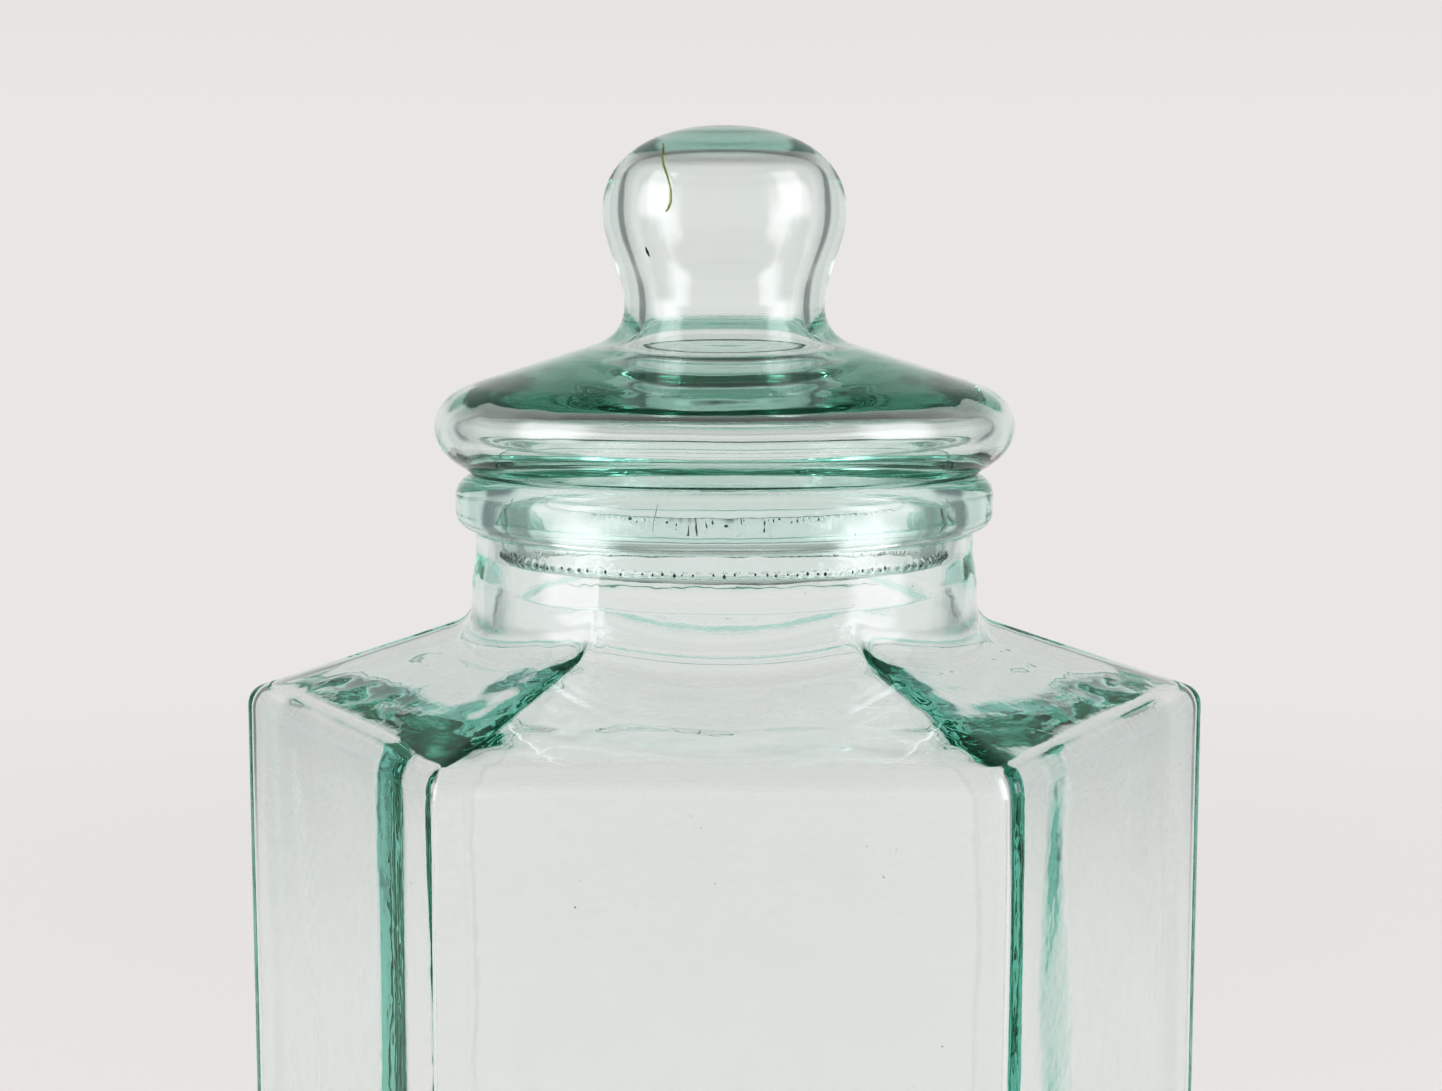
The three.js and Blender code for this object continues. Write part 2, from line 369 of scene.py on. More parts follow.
def inner_radius(side, off_face):
    """The inside of the hexagon: two walls meet at a corner and are blended there."""
    near = face_radius(side, off_face)
    turn = SECTOR if off_face > 0 else -SECTOR
    neighbour = side + (1 if off_face > 0 else -1)
    far = face_radius(neighbour, off_face - turn)
    blend = CORNER_BLEND[side if off_face > 0 else (side - 1) % SIDES]
    overlap = max(blend - abs(near - far), 0.0) / blend
    return min(near, far) - overlap**2 * blend / 4


def shoulder_thickening(side, off_face):
    """The side's own value, blended into its neighbour's at the corner between them."""
    neighbour = (side + (1 if off_face > 0 else -1)) % SIDES
    share = smoothstep(abs(off_face), SECTOR / 2 - SHOULDER_BLEND, SECTOR / 2 + SHOULDER_BLEND)
    return SHOULDER_THICKENING[side] * (1 - share) + SHOULDER_THICKENING[neighbour] * share


def jar_outline(side, off_face):
    outer = hexagon_radius(SECTOR / 2 - abs(off_face), APOTHEM, OUTER_CORNER)
    inner = inner_radius(side, off_face)
    slope_length = math.sqrt(1 + SHOULDER_SLOPE**2)
    inner_edge_z = SHOULDER_EDGE_Z + WALL * SHOULDER_SLOPE - SHOULDER_EDGE_WALL * slope_length
    drop = shoulder_thickening(side, off_face) * slope_length
    inner_apothem = APOTHEM - WALL
    ramp_r = inner * SHOULDER_RAMP

    def shoulder_z(r):
        return SHOULDER_EDGE_Z + SHOULDER_SLOPE * APOTHEM * (1 - r / outer)

    def inner_z(r):
        return inner_edge_z - drop + SHOULDER_SLOPE * inner_apothem * (1 - r / inner)

    return rounded_outline([
        ((0, PUNT_DEPTH), 0, 0, 6),
        ((PUNT_TOP * outer, PUNT_DEPTH), 0, 0, 2),
        ((PUNT_RIM * outer, 0), 0, 0, 3),
        ((outer, 0), HEEL_ROUND, 8, 30),
        ((outer, SHOULDER_EDGE_Z), SHOULDER_ROUND, 10, 14),
        ((NECK_RADIUS, shoulder_z(NECK_RADIUS)), NECK_FILLET, 8, 2),
        ((NECK_RADIUS, NECK_STRAIGHT_Z), NECK_BEND, 4, 2),
        ((NECK_WAIST_RADIUS, NECK_WAIST_Z), WAIST_BEND, 4, 3),
        ((NECK_WAIST_RADIUS, BEAD_BOTTOM_Z), BEAD_ROOT, 4, 1),
        ((BEAD_RADIUS, BEAD_BOTTOM_Z), BEAD_ROUND_BOTTOM, 8, 2),
        ((BEAD_RADIUS, MOUTH_Z), BEAD_ROUND_TOP, 8, 3),
        ((BORE_RADIUS, MOUTH_Z), LIP_ROUND, 6, 12),
        ((BORE_RADIUS, inner_z(BORE_RADIUS)), BORE_FILLET, 8, 14),
        ((ramp_r, inner_z(ramp_r)), RAMP_BEND, 6, 6),
        ((inner, inner_edge_z), SHOULDER_ROUND_INSIDE, 10, 36),
        ((inner, FLOOR_Z), FLOOR_ROUND, 8, 10),
        ((0, FLOOR_Z), 0, 0, 0),
    ])


def jar_shift(mouth_row):
    """Waves on the inside of the walls, shoulder and neck; a mould seam outside the neck."""

    def shift(angle, row, r, z):
        if row <= mouth_row:
            on_neck = smoothstep(z, *SEAM_BOTTOM_RAMP) * fading(z, *SEAM_TOP_RAMP)
            seam = sum(
                math.exp(-((math.remainder(angle - at, 2 * math.pi) / SEAM_WIDTH) ** 2))
                for at in (SEAM_ANGLE, SEAM_ANGLE + math.pi)
            )
            return SEAM_HEIGHT * seam * on_neck, 0.0
        wall = fading(z, *WALL_TOP_RAMP) * smoothstep(z, *WALL_BOTTOM_RAMP)
        shoulder = smoothstep(z, *SHOULDER_Z_RAMP) * smoothstep(r, *SHOULDER_R_RAMP)
        neck = smoothstep(z, *NECK_BOTTOM_RAMP) * fading(z, *NECK_TOP_RAMP) * fading(r, *NECK_R_RAMP)
        out = wall * WALL_WAVE * wave(angle, r, z, WALL_WAVE_LENGTHS, WALL_NOISE_AT)
        out += neck * NECK_WAVE * wave(angle, r, z, NECK_WAVE_LENGTHS, NECK_NOISE_AT)
        up = shoulder * SHOULDER_WAVE * wave(angle, r, z, SHOULDER_WAVE_LENGTHS, SHOULDER_NOISE_AT)
        up += shoulder * SHOULDER_RINGS * math.sin(2 * math.pi * r / RING_PITCH)
        return out, up

    return shift


def jar_body():
    half = SECTOR / 2
    steps = [half * (k / COLUMNS_PER_HALF) ** COLUMN_CROWDING for k in range(COLUMNS_PER_HALF + 1)]
    offsets = [step - half for step in steps] + [half - step for step in steps[-2:0:-1]]
    angles, outlines = [], []
    for side in range(SIDES):
        for off_face in offsets:
            angles.append(side * SECTOR + off_face)
            outlines.append(jar_outline(side, off_face))
    mouth_row = int(np.argmax(outlines[0][:, 1])) + MOUTH_ROWS
    return swept_piece("jar_body_glass", angles, outlines, jar_shift(mouth_row))


# ------------------------------------------------------------ lid


def cap(radius, height, base_z, squareness, steps):
    out = []
    for i in range(steps + 1):
        t = math.pi / 2 * i / steps
        r = radius * max(math.cos(t), 0) ** (2 / squareness) if i < steps else 0.0
        out.append((r, base_z + height * math.sin(t) ** (2 / squareness)))
    return out


def knob_side(waist, widest, bottom, top, steps):
    return [
        (waist + (widest - waist) * (1 - math.cos(math.pi * i / steps)) / 2,
         bottom + (top - bottom) * i / steps)
        for i in range(steps + 1)
    ]


def dome_z(r):
    return DOME_RIM_Z + DOME_SLOPE * (DOME_RIM_RADIUS - r)


def lid_inside():
    """From the knob's hollow over the flatter underside of the dome and round the rim."""
    start_z = dome_z(INSIDE_START) - DOME_THICKNESS_Z - INSIDE_DROP
    end_z = start_z - INSIDE_SLOPE * (INSIDE_END - INSIDE_START)
    waist = KNOB_WAIST_RADIUS - KNOB_WALL
    waist_z = dome_z(waist) - DOME_THICKNESS_Z + FLARE_PULL_RISE
    rim = RIM_RADIUS - RIM_WALL
    flare_pull_z = start_z + INSIDE_SLOPE * (INSIDE_START - FLARE_PULL_RADIUS)
    rim_pull_z = end_z - INSIDE_SLOPE * (INSIDE_RIM_PULL_RADIUS - INSIDE_END)
    waist_point = (waist, KNOB_WAIST_Z)
    start = (INSIDE_START, start_z)
    end = (INSIDE_END, end_z)
    rim_middle = (rim, RIM_MIDDLE_Z)
    plug_point = (PLUG_BORE, PLUG_INSIDE_Z)
    return [
        bezier([waist_point, (waist, waist_z), (FLARE_PULL_RADIUS, flare_pull_z), start], 12),
        line(start, end, 5),
        bezier([end, (INSIDE_RIM_PULL_RADIUS, rim_pull_z), (rim, INSIDE_RIM_UPPER_PULL_Z),
                rim_middle], 10),
        bezier([rim_middle, (rim, INSIDE_RIM_LOWER_PULL_Z), (PLUG_BORE, PLUG_INSIDE_PULL_Z),
                plug_point], 16),
    ]


def lid_outline():
    tip = (PLUG_RADIUS - PLUG_BORE) / 2
    dome_angle = math.atan(DOME_SLOPE)
    waist = KNOB_WAIST_RADIUS - KNOB_WALL
    bulb = KNOB_RADIUS - KNOB_WALL
    inside_cap = cap(bulb, KNOB_TOP_Z - KNOB_TOP_WALL - KNOB_WIDEST_Z, KNOB_WIDEST_Z,
                     HOLLOW_SQUARENESS, 14)
    inside_side = knob_side(waist, bulb, KNOB_WAIST_Z, KNOB_WIDEST_Z, 9)
    tip_z = PLUG_BOTTOM_Z + tip
    rim_middle = (RIM_RADIUS, RIM_MIDDLE_Z)
    dome_rim = (DOME_RIM_RADIUS, DOME_RIM_Z)
    return joined(
        inside_cap[::-1],
        inside_side[::-1],
        *lid_inside(),
        line((PLUG_BORE, PLUG_INSIDE_Z), (PLUG_BORE, tip_z), 4),
        arc(PLUG_BORE + tip, tip_z, tip, math.pi, 2 * math.pi, 14),
        line((PLUG_RADIUS, tip_z), (PLUG_RADIUS, tip_z + PLUG_TIP_RUN), 4),
        line((PLUG_RADIUS, tip_z + PLUG_TIP_RUN), (PLUG_RADIUS, SEAT_Z - PLUG_CHAMFER), 8),
        line((PLUG_RADIUS + PLUG_CHAMFER, SEAT_Z), (SEAT_RADIUS, SEAT_Z), 2),
        bezier([(SEAT_RADIUS, SEAT_Z + SEAT_EDGE_RISE), RIM_UNDER_PULL,
                (RIM_RADIUS, RIM_LOWER_PULL_Z), rim_middle], 12),
        bezier([rim_middle, (RIM_RADIUS, RIM_UPPER_PULL_Z),
                (RIM_TOP_PULL_RADIUS, dome_z(RIM_TOP_PULL_RADIUS)), dome_rim], 12),
        line(dome_rim, (DOME_TOP_RADIUS, dome_z(DOME_TOP_RADIUS)), 4),
        arc(KNOB_WAIST_RADIUS + KNOB_FLARE, KNOB_WAIST_Z, KNOB_FLARE,
            1.5 * math.pi - dome_angle, math.pi, 9),
        knob_side(KNOB_WAIST_RADIUS, KNOB_RADIUS, KNOB_WAIST_Z, KNOB_WIDEST_Z, 10),
        cap(KNOB_RADIUS, KNOB_TOP_Z - KNOB_WIDEST_Z, KNOB_WIDEST_Z, KNOB_SQUARENESS, 14),
    )


def lid_shift(last_inside_row):
    """Knurls and a wavy lower edge on the plug, and slight waves on the lid's inside."""

    def shift(angle, row, r, z):
        knurl = max(math.cos(KNURLS * angle), 0.0)
        knurl *= math.exp(-(((z - KNURL_Z) / KNURL_SPREAD) ** 2))
        on_plug = smoothstep(r, *PLUG_R_RAMP) * fading(z, *PLUG_TOP_RAMP)
        plug_wave = wave(angle + z * PLUG_TWIST, r, z, PLUG_WAVE_LENGTHS, PLUG_NOISE_AT)
        out = on_plug * KNURL_HEIGHT * knurl
        out += on_plug * PLUG_WAVE * min(plug_wave, 1.0)
        up = fading(z, *LIP_RAMP) * LIP_WAVE * wave(angle, r, 0, LIP_WAVE_LENGTHS, LIP_NOISE_AT)
        if row <= last_inside_row:
            on_dome = smoothstep(r, *DOME_R_RAMP) * smoothstep(z, *DOME_Z_RAMP)
            up += on_dome * LID_WAVE * wave(angle, r, 0, LID_WAVE_LENGTHS, LID_NOISE_AT)
        return out, up

    return shift


def lid():
    outline = lid_outline()
    angles = [2 * math.pi * i / LID_COLUMNS for i in range(LID_COLUMNS)]
    last_inside_row = int(np.argmin(outline[:, 1]))
    return swept_piece("lid_glass", angles, [outline] * LID_COLUMNS, lid_shift(last_inside_row))


# ------------------------------------------------------------ small things in the glass, in mm

THREAD_PATH = [(-10.6, 294.6), (-10.9, 292.6), (-10.6, 291.0), (-9.9, 289.0), (-9.4, 287.0),
               (-9.4, 285.0), (-9.9, 283.6), (-10.4, 283.2)]
THREAD_RADII = [0.10, 0.24, 0.22, 0.19, 0.22, 0.27, 0.25, 0.11]
DASH_PATH = [(-13.9, 277.3), (-13.6, 276.4), (-13.2, 275.5)]
DASH_RADII = [0.08, 0.30, 0.08]
SCRATCH_PATH = [(-11.4, 233.0), (-11.7, 231.5), (-12.1, 229.6), (-12.3, 228.2)]
SCRATCH_RADII = [0.03, 0.10, 0.08, 0.03]
SCRATCH_DEPTH = 0.3
# The bead's front: flat for this far above and below its middle, then falling back.
BEAD_MIDDLE_Z = 229.5
BEAD_FLAT_HALF = 2.0
BEAD_FALL = 0.4

# The bubbles: how many, where and how big; DRAW is where a piece's random draws start.
JAR_SEEDS_DRAW = 41
LID_SEEDS_DRAW = 17
MARKS_DRAW = 29
WALL_SEEDS = 170
WALL_SEED_REACH = 0.48
WALL_SEED_DEPTH = 0.45
WALL_SEED_BOTTOM_Z = 24.0
WALL_SEED_TOP_MARGIN = 10.0
WALL_SEED_CROWDING = 0.7
WALL_SEED_SIZES = (0.06, 0.14)
NECK_SEEDS = 60
NECK_SEED_HEIGHTS = (212, 231)
NECK_SEED_SIZES = (0.06, 0.13)
LID_SEEDS = 70
LID_SEED_RADII = (28, 46)
LID_SEED_DEPTH = 1.6
LID_SEED_SIZES = (0.06, 0.13)
# Four corners round the middle, then the top and the bottom.
SPECK_CORNERS = [(1, 0, 0), (0, 1, 0), (-1, 0, 0), (0, -1, 0), (0, 0, 1.5), (0, 0, -1.5)]


def tube_mesh(path, radii, sides=8):
    """Vertices and faces of a closed tube along a path, in mm."""
    verts, faces = [], []
    for i, (point, radius) in enumerate(zip(path, radii)):
        ahead = Vector(path[min(i + 1, len(path) - 1)]) - Vector(path[max(i - 1, 0)])
        ahead.normalize()
        across = ahead.cross(Vector((0, 1, 0))).normalized()
        other = ahead.cross(across)
        for k in range(sides):
            turn = 2 * math.pi * k / sides
            at = Vector(point) + radius * (across * math.cos(turn) + other * math.sin(turn))
            verts.append(tuple(at * MM))
    rings = len(path)
    for i in range(rings - 1):
        for k in range(sides):
            a, b = i * sides + k, i * sides + (k + 1) % sides
            faces.append((a, b, b + sides, a + sides))
    faces.append(tuple(range(sides - 1, -1, -1)))
    faces.append(tuple((rings - 1) * sides + k for k in range(sides)))
    return verts, faces


def knob_middle(x, z):
    """A point halfway through the knob's wall on its front, from x and z."""
    radius = KNOB_RADIUS - KNOB_WALL / 2
    height = KNOB_TOP_Z - KNOB_TOP_WALL / 2 - KNOB_WIDEST_Z
    up = max(z - KNOB_WIDEST_Z, 0.0) / height
    if z < KNOB_WIDEST_Z:
        turn = math.pi * (z - KNOB_WAIST_Z) / (KNOB_WIDEST_Z - KNOB_WAIST_Z)
        waist = KNOB_WAIST_RADIUS - KNOB_WALL / 2
        r = waist + (radius - waist) * (1 - math.cos(turn)) / 2
    else:
        r = radius * max(1 - up**KNOB_SQUARENESS, 0.0) ** (1 / KNOB_SQUARENESS)
    return (x, -math.sqrt(max(r * r - x * x, 0.0)), z)


def bead_front(x, z):
    """A point just under the surface of the bead's front, from x and z."""
    past_flat = max(abs(z - BEAD_MIDDLE_Z) - BEAD_FLAT_HALF, 0.0)
    r = BEAD_RADIUS - SCRATCH_DEPTH - BEAD_FALL * past_flat
    return (x, -math.sqrt(r * r - x * x), z)


def inclusion(name, surface, path, radii):
    verts, faces = tube_mesh([surface(x, z) for x, z in path], radii)
    return new_piece(name, verts, faces)


def seed_cloud(name, spots):
    """Many tiny closed specks in one mesh; spots are (x, y, z, radius) in mm."""
    verts, faces = [], []
    for x, y, z, radius in spots:
        start = len(verts)
        for dx, dy, dz in SPECK_CORNERS:
            verts.append(((x + dx * radius) * MM, (y + dy * radius) * MM, (z + dz * radius) * MM))
        for k in range(4):
            a, b = start + k, start + (k + 1) % 4
            faces.append((a, b, start + 4))
            faces.append((b, a, start + 5))
    return new_piece(name, verts, faces)


def around(angle, radius, z, size):
    return (radius * math.sin(angle), -radius * math.cos(angle), z, size)


def jar_seeds():
    """Tiny bubbles in the body's walls, more of them near the top, and in the neck."""
    chance = random.Random(JAR_SEEDS_DRAW)
    height = SHOULDER_EDGE_Z - WALL_SEED_TOP_MARGIN - WALL_SEED_BOTTOM_Z
    spots = []
    for _ in range(WALL_SEEDS):
        side = chance.randrange(SIDES)
        off_face = chance.uniform(-WALL_SEED_REACH, WALL_SEED_REACH)
        r = (APOTHEM - WALL * WALL_SEED_DEPTH) / math.cos(off_face)
        z = WALL_SEED_BOTTOM_Z + height * chance.random() ** WALL_SEED_CROWDING
        spots.append(around(side * SECTOR + off_face, r, z, chance.uniform(*WALL_SEED_SIZES)))
    for _ in range(NECK_SEEDS):
        angle = chance.uniform(0, 2 * math.pi)
        size = chance.uniform(*NECK_SEED_SIZES)
        z = chance.uniform(*NECK_SEED_HEIGHTS)
        spots.append(around(angle, (NECK_RADIUS + BORE_RADIUS) / 2, z, size))
    return seed_cloud("jar_seeds", spots)


def knurl_marks():
    """Small dark specks on the outside of the plug, in a row along its knurls."""
    chance = random.Random(MARKS_DRAW)
    spots = []
    for k in range(MARKS):
        if chance.random() < MARKS_MISSING:
            continue
        step = k + chance.uniform(-MARKS_STEP_SPREAD, MARKS_STEP_SPREAD)
        angle = 2 * math.pi * step / MARKS
        size = chance.uniform(*MARK_SIZES)
        z = MARKS_Z + chance.uniform(-MARKS_Z_SPREAD, MARKS_Z_SPREAD)
        spots.append(around(angle, MARKS_RADIUS, z, size))
    return seed_cloud("lid_knurl_marks", spots)


def lid_seeds():
    """Tiny bubbles just under the dome's surface."""
    chance = random.Random(LID_SEEDS_DRAW)
    spots = []
    for _ in range(LID_SEEDS):
        angle = chance.uniform(0, 2 * math.pi)
        r = chance.uniform(*LID_SEED_RADII)
        size = chance.uniform(*LID_SEED_SIZES)
        spots.append(around(angle, r, dome_z(r) - LID_SEED_DEPTH, size))
    return seed_cloud("lid_seeds", spots)


# ------------------------------------------------------------ materials

GLASS_IOR = 1.52
WHITE = (1, 1, 1)
GLASS_TINT = (0.985, 0.995, 0.99)
TINT_WAVES = 90
SMEAR_WAVES = 260
SMEAR_ROUGHNESS = (-0.02, 0.012)
RIPPLE_WAVES = 130
JAR_RIPPLE = 0.00002
LID_RIPPLE = 0.00001
SPECK_WAVES = 700
# The part of a noise texture's range that it fills.
NOISE_SPAN = (0.35, 0.70)


def noise_value(tree, scale, detail, low, high):
    """A noise texture in object space, squeezed between two values; scale is in waves per metre."""
    place = tree.nodes.new("ShaderNodeTexCoord")
    texture = tree.nodes.new("ShaderNodeTexNoise")
    texture.inputs["Scale"].default_value = scale
    texture.inputs["Detail"].default_value = detail
    spread = tree.nodes.new("ShaderNodeMapRange")
    spread.inputs["From Min"].default_value = NOISE_SPAN[0]
    spread.inputs["From Max"].default_value = NOISE_SPAN[1]
    spread.inputs["To Min"].default_value = low
    spread.inputs["To Max"].default_value = high
    tree.links.new(place.outputs["Object"], texture.inputs["Vector"])
    tree.links.new(texture.outputs["Fac"], spread.inputs["Value"])
    return spread.outputs["Result"]


def colour_mix(tree, factor, first, second):
    mix = tree.nodes.new("ShaderNodeMix")
    mix.data_type = "RGBA"
    mix.inputs["A"].default_value = (*first, 1)
    mix.inputs["B"].default_value = (*second, 1)
    tree.links.new(factor, mix.inputs["Factor"])
    return mix.outputs["Result"]


def bump(tree, heights, distance):
    node = tree.nodes.new("ShaderNodeBump")
    node.inputs["Strength"].default_value = 1.0
    node.inputs["Distance"].default_value = distance
    tree.links.new(heights, node.inputs["Height"])
    return node.outputs["Normal"]


def glass_material(name, kept, density, ripple_depth):
    """Tinted glass: kept is what one absorption length leaves of each colour."""
    mat = bpy.data.materials.new(name)
    mat.use_nodes = True
    tree = mat.node_tree
    shader = tree.nodes["Principled BSDF"]
    shader.inputs["IOR"].default_value = GLASS_IOR
    shader.inputs["Transmission Weight"].default_value = 1.0
    tint = colour_mix(tree, noise_value(tree, TINT_WAVES, 3, 0, 1), WHITE, GLASS_TINT)
    smear = noise_value(tree, SMEAR_WAVES, 4, *SMEAR_ROUGHNESS)
    ripple = bump(tree, noise_value(tree, RIPPLE_WAVES, 2, 0, 1), ripple_depth)
    tree.links.new(tint, shader.inputs["Base Color"])
    tree.links.new(smear, shader.inputs["Roughness"])
    tree.links.new(ripple, shader.inputs["Normal"])
    absorption = tree.nodes.new("ShaderNodeVolumeAbsorption")
    absorption.inputs["Color"].default_value = (*kept, 1)
    absorption.inputs["Density"].default_value = density
    tree.links.new(absorption.outputs[0], tree.nodes["Material Output"].inputs["Volume"])
    return mat


def speck_material(name, light, dark, roughness):
    mat = bpy.data.materials.new(name)
    mat.use_nodes = True
    tree = mat.node_tree
    shader = tree.nodes["Principled BSDF"]
    shader.inputs["Roughness"].default_value = roughness
    tree.links.new(colour_mix(tree, noise_value(tree, SPECK_WAVES, 3, 0, 1), light, dark),
                   shader.inputs["Base Color"])
    return mat


# ------------------------------------------------------------ the pieces

JAR_KEPT = (0.0, 0.68, 0.56)
JAR_DENSITY = 14.0
LID_KEPT = (0.0, 0.50, 0.37)
LID_DENSITY = 17.5
SEED_PALE = (0.72, 0.74, 0.72)
SEED_DARK = (0.30, 0.33, 0.31)
# Part of the thread's paleness is painted light: its colours are raised above its own to make up for
# light that reaches it only weakly inside the glass.
THREAD_LIGHT = (0.90, 0.93, 0.52)
THREAD_DARK = (0.66, 0.72, 0.32)
MARK_LIGHT = (0.12, 0.18, 0.16)
MARK_DARK = (0.02, 0.05, 0.04)
DASH_LIGHT = (0.05, 0.07, 0.06)
DASH_DARK = (0.01, 0.02, 0.02)
SCRATCH_LIGHT = (0.95, 0.95, 0.95)
SCRATCH_DARK = (0.80, 0.82, 0.81)
PALE_ROUGHNESS = 0.4
DARK_ROUGHNESS = 0.5


def dress(piece, material, body, node=None):
    piece.data.materials.append(material)
    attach(piece, body)
    if node:
        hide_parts(node)


jar_glass = glass_material("jar_glass_material", JAR_KEPT, JAR_DENSITY, JAR_RIPPLE)
lid_glass = glass_material("lid_glass_material", LID_KEPT, LID_DENSITY, LID_RIPPLE)
seed_material = speck_material("seed_material", SEED_PALE, SEED_DARK, PALE_ROUGHNESS)
mark_material = speck_material("mark_material", MARK_LIGHT, MARK_DARK, DARK_ROUGHNESS)
thread_material = speck_material("thread_material", THREAD_LIGHT, THREAD_DARK, DARK_ROUGHNESS)
dash_material = speck_material("dash_material", DASH_LIGHT, DASH_DARK, DARK_ROUGHNESS)
scratch_material = speck_material("scratch_material", SCRATCH_LIGHT, SCRATCH_DARK, PALE_ROUGHNESS)

dress(jar_body(), jar_glass, "jar", "jar_body")
dress(lid(), lid_glass, "lid", "lid")
dress(jar_seeds(), seed_material, "jar")
dress(lid_seeds(), seed_material, "lid")
dress(knurl_marks(), mark_material, "lid")
dress(inclusion("lid_thread", knob_middle, THREAD_PATH, THREAD_RADII), thread_material, "lid")
dress(inclusion("lid_dash", knob_middle, DASH_PATH, DASH_RADII), dash_material, "lid")
dress(inclusion("jar_scratch", bead_front, SCRATCH_PATH, SCRATCH_RADII), scratch_material, "jar")

# ------------------------------------------------------------ studio

BACKDROP_TINT = (1.0, 0.968, 0.953)
# Height of the direction on the unit sphere, and how bright the studio is there.
BACKDROP = [(-1.0, 0.80), (-0.10, 0.82), (0.08, 0.82), (0.14, 0.79), (0.25, 0.68), (0.40, 0.54),
            (0.60, 0.36), (0.80, 0.22), (1.0, 0.16)]
SOFTBOX_DISTANCE = 1.5
SOFTBOX_AZIMUTH = math.radians(72)
SOFTBOX_Z = 0.60
SOFTBOX_SIZE = (1.1, 1.4)
SOFTBOX_STRENGTH = 5.2
# The share of every panel's half width over which its edge fades.
PANEL_EDGE = 0.55
FLAG_DISTANCE = 1.3
FLAG_AZIMUTH = math.radians(124)
FLAG_Z = 0.40
FLAG_SIZE = (0.75, 1.9)
FLAG_GLOW = 0.34
LAMP_TARGET = Vector((0, 0, 0.2))
FLOOR_RADIUS = 1.2
FLOOR_CORNERS = 64
FLOOR_FADE = (0.25, 1.15)
FLOOR_COLOUR = (0.80, 0.775, 0.763)
FLOOR_GLOW = 0.34


def studio_world():
    world = bpy.data.worlds.new("studio")
    world.use_nodes = True
    tree = world.node_tree
    background = tree.nodes["Background"]
    place = tree.nodes.new("ShaderNodeTexCoord")
    unit = tree.nodes.new("ShaderNodeVectorMath")
    unit.operation = "NORMALIZE"
    split = tree.nodes.new("ShaderNodeSeparateXYZ")
    height = tree.nodes.new("ShaderNodeMapRange")
    height.inputs["From Min"].default_value = -1
    height.inputs["From Max"].default_value = 1
    ramp = tree.nodes.new("ShaderNodeValToRGB")
    stops = ramp.color_ramp.elements
    while len(stops) < len(BACKDROP):
        stops.new(0.5)
    for stop, (z, value) in zip(stops, BACKDROP):
        stop.position = (z + 1) / 2
        stop.color = (*(value * c for c in BACKDROP_TINT), 1)
    tree.links.new(place.outputs["Generated"], unit.inputs[0])
    tree.links.new(unit.outputs[0], split.inputs[0])
    tree.links.new(split.outputs["Z"], height.inputs["Value"])
    tree.links.new(height.outputs["Result"], ramp.inputs["Fac"])
    tree.links.new(ramp.outputs["Color"], background.inputs["Color"])
    return world


def edge_fade(tree, axis_value):
    """One at the middle of a square from -1 to 1, falling softly to zero at its edge."""
    size = tree.nodes.new("ShaderNodeMath")
    size.operation = "ABSOLUTE"
    fade = tree.nodes.new("ShaderNodeMapRange")
    fade.interpolation_type = "SMOOTHSTEP"
    fade.inputs["From Min"].default_value = 1.0
    fade.inputs["From Max"].default_value = 1.0 - PANEL_EDGE
    tree.links.new(axis_value, size.inputs[0])
    tree.links.new(size.outputs[0], fade.inputs["Value"])
    return fade.outputs["Result"]


def panel_material(name, strength):
    """A glowing panel with soft edges; one dimmer than the backdrop works as a flag."""
    mat = bpy.data.materials.new(name)
    mat.use_nodes = True
    tree = mat.node_tree
    tree.nodes.remove(tree.nodes["Principled BSDF"])
    place = tree.nodes.new("ShaderNodeTexCoord")
    split = tree.nodes.new("ShaderNodeSeparateXYZ")
    both = tree.nodes.new("ShaderNodeMath")
    both.operation = "MULTIPLY"
    glow = tree.nodes.new("ShaderNodeEmission")
    clear = tree.nodes.new("ShaderNodeBsdfTransparent")
    mix = tree.nodes.new("ShaderNodeMixShader")
    glow.inputs["Strength"].default_value = strength
    tree.links.new(place.outputs["Object"], split.inputs[0])
    tree.links.new(edge_fade(tree, split.outputs["X"]), both.inputs[0])
    tree.links.new(edge_fade(tree, split.outputs["Y"]), both.inputs[1])
    tree.links.new(both.outputs[0], mix.inputs["Fac"])
    tree.links.new(clear.outputs[0], mix.inputs[1])
    tree.links.new(glow.outputs[0], mix.inputs[2])
    tree.links.new(mix.outputs[0], tree.nodes["Material Output"].inputs["Surface"])
    return mat


def panel(name, distance, azimuth, z, size, material):
    """A studio panel that faces the jar; azimuth is from the front, towards +X."""
    square = [(-1, -1, 0), (1, -1, 0), (1, 1, 0), (-1, 1, 0)]
    board = new_piece(name, square, [(0, 1, 2, 3)])
    width, height = size
    board.scale = (width / 2, height / 2, 1)
    board.location = (distance * math.sin(azimuth), -distance * math.cos(azimuth), z)
    board.rotation_euler = (LAMP_TARGET - board.location).to_track_quat("Z", "Y").to_euler()
    board.data.materials.append(material)
    board.visible_camera = False
    return board


def softboxes():
    glow = panel_material("softbox_material", SOFTBOX_STRENGTH)
    for name, side in (("softbox_left", -1), ("softbox_right", 1)):
        panel(name, SOFTBOX_DISTANCE, side * SOFTBOX_AZIMUTH, SOFTBOX_Z, SOFTBOX_SIZE, glow)


def flags():
    """Grey boards beside the backdrop: they draw the darker edges of the glass."""
    grey = panel_material("flag_material", FLAG_GLOW)
    for name, side in (("flag_left", -1), ("flag_right", 1)):
        board = panel(name, FLAG_DISTANCE, side * FLAG_AZIMUTH, FLAG_Z, FLAG_SIZE, grey)
        board.visible_diffuse = False
        board.visible_shadow = False


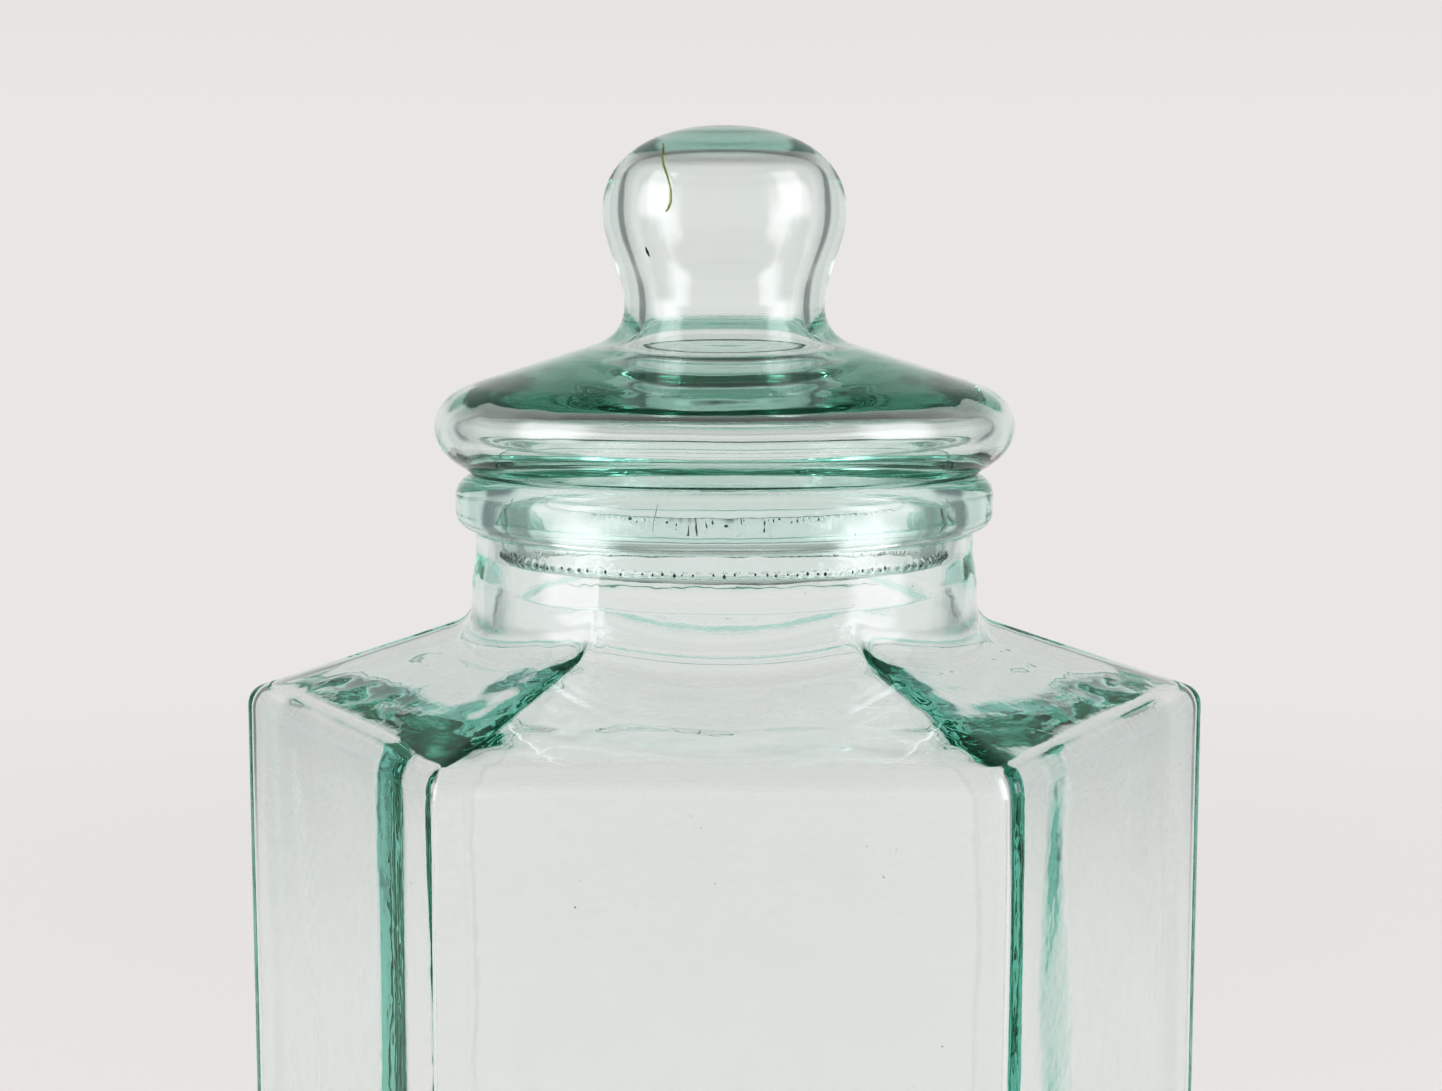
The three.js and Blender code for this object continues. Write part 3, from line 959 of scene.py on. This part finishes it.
def floor_material():
    mat = bpy.data.materials.new("floor_material")
    mat.use_nodes = True
    tree = mat.node_tree
    tree.nodes.remove(tree.nodes["Principled BSDF"])
    paper = tree.nodes.new("ShaderNodeBsdfDiffuse")
    paper.inputs["Color"].default_value = (*FLOOR_COLOUR, 1)
    glow = tree.nodes.new("ShaderNodeEmission")
    glow.inputs["Color"].default_value = (*BACKDROP_TINT, 1)
    glow.inputs["Strength"].default_value = FLOOR_GLOW
    lit = tree.nodes.new("ShaderNodeAddShader")
    clear = tree.nodes.new("ShaderNodeBsdfTransparent")
    mix = tree.nodes.new("ShaderNodeMixShader")
    place = tree.nodes.new("ShaderNodeTexCoord")
    reach = tree.nodes.new("ShaderNodeVectorMath")
    reach.operation = "LENGTH"
    fade = tree.nodes.new("ShaderNodeMapRange")
    fade.interpolation_type = "SMOOTHSTEP"
    fade.inputs["From Min"].default_value = FLOOR_FADE[0]
    fade.inputs["From Max"].default_value = FLOOR_FADE[1]
    tree.links.new(place.outputs["Object"], reach.inputs[0])
    tree.links.new(reach.outputs["Value"], fade.inputs["Value"])
    tree.links.new(fade.outputs["Result"], mix.inputs["Fac"])
    tree.links.new(paper.outputs[0], lit.inputs[0])
    tree.links.new(glow.outputs[0], lit.inputs[1])
    tree.links.new(lit.outputs[0], mix.inputs[1])
    tree.links.new(clear.outputs[0], mix.inputs[2])
    tree.links.new(mix.outputs[0], tree.nodes["Material Output"].inputs["Surface"])
    return mat


def studio_floor():
    turns = [2 * math.pi * k / FLOOR_CORNERS for k in range(FLOOR_CORNERS)]
    verts = [(FLOOR_RADIUS * math.cos(t), FLOOR_RADIUS * math.sin(t), 0) for t in turns]
    floor = new_piece("floor", verts, [tuple(range(len(verts)))])
    floor.data.materials.append(floor_material())


bpy.context.scene.world = studio_world()
softboxes()
flags()
studio_floor()

# ------------------------------------------------------------ camera and picture

# Lens and sensor width in mm, places in metres.
LENS = 54.85
SENSOR_WIDTH = 36
CLIP_START = 0.01
CAMERA_AT = (-0.00067, -0.42016, 0.26736)
CAMERA_DIP = math.radians(6.38)
BOUNCES = 64
# The number of the curve that acts on the three colours alike.
ALL_COLOURS = 3
# The picture's tone curve: scene brightness and shown brightness; it deepens the darker tones.
TONE_CURVE = [(0.0, 0.0), (0.10, 0.045), (0.25, 0.155), (0.45, 0.375), (0.62, 0.60), (0.80, 0.80),
              (1.0, 0.95)]


def studio_camera():
    data = bpy.data.cameras.new("camera")
    data.sensor_width = SENSOR_WIDTH
    data.lens = LENS
    data.clip_start = CLIP_START
    camera = bpy.data.objects.new("camera", data)
    camera.location = CAMERA_AT
    camera.rotation_euler = (math.pi / 2 - CAMERA_DIP, 0, 0)
    bpy.context.scene.collection.objects.link(camera)
    bpy.context.scene.camera = camera


def tone_curve(view):
    view.view_transform = "Standard"
    view.use_curve_mapping = True
    curve = view.curve_mapping.curves[ALL_COLOURS]
    for at, value in TONE_CURVE[1:-1]:
        curve.points.new(at, value)
    curve.points[-1].location = TONE_CURVE[-1]
    view.curve_mapping.update()


studio_camera()
scene = bpy.context.scene
tone_curve(scene.view_settings)
scene.cycles.max_bounces = BOUNCES
scene.cycles.transmission_bounces = BOUNCES
scene.cycles.glossy_bounces = BOUNCES
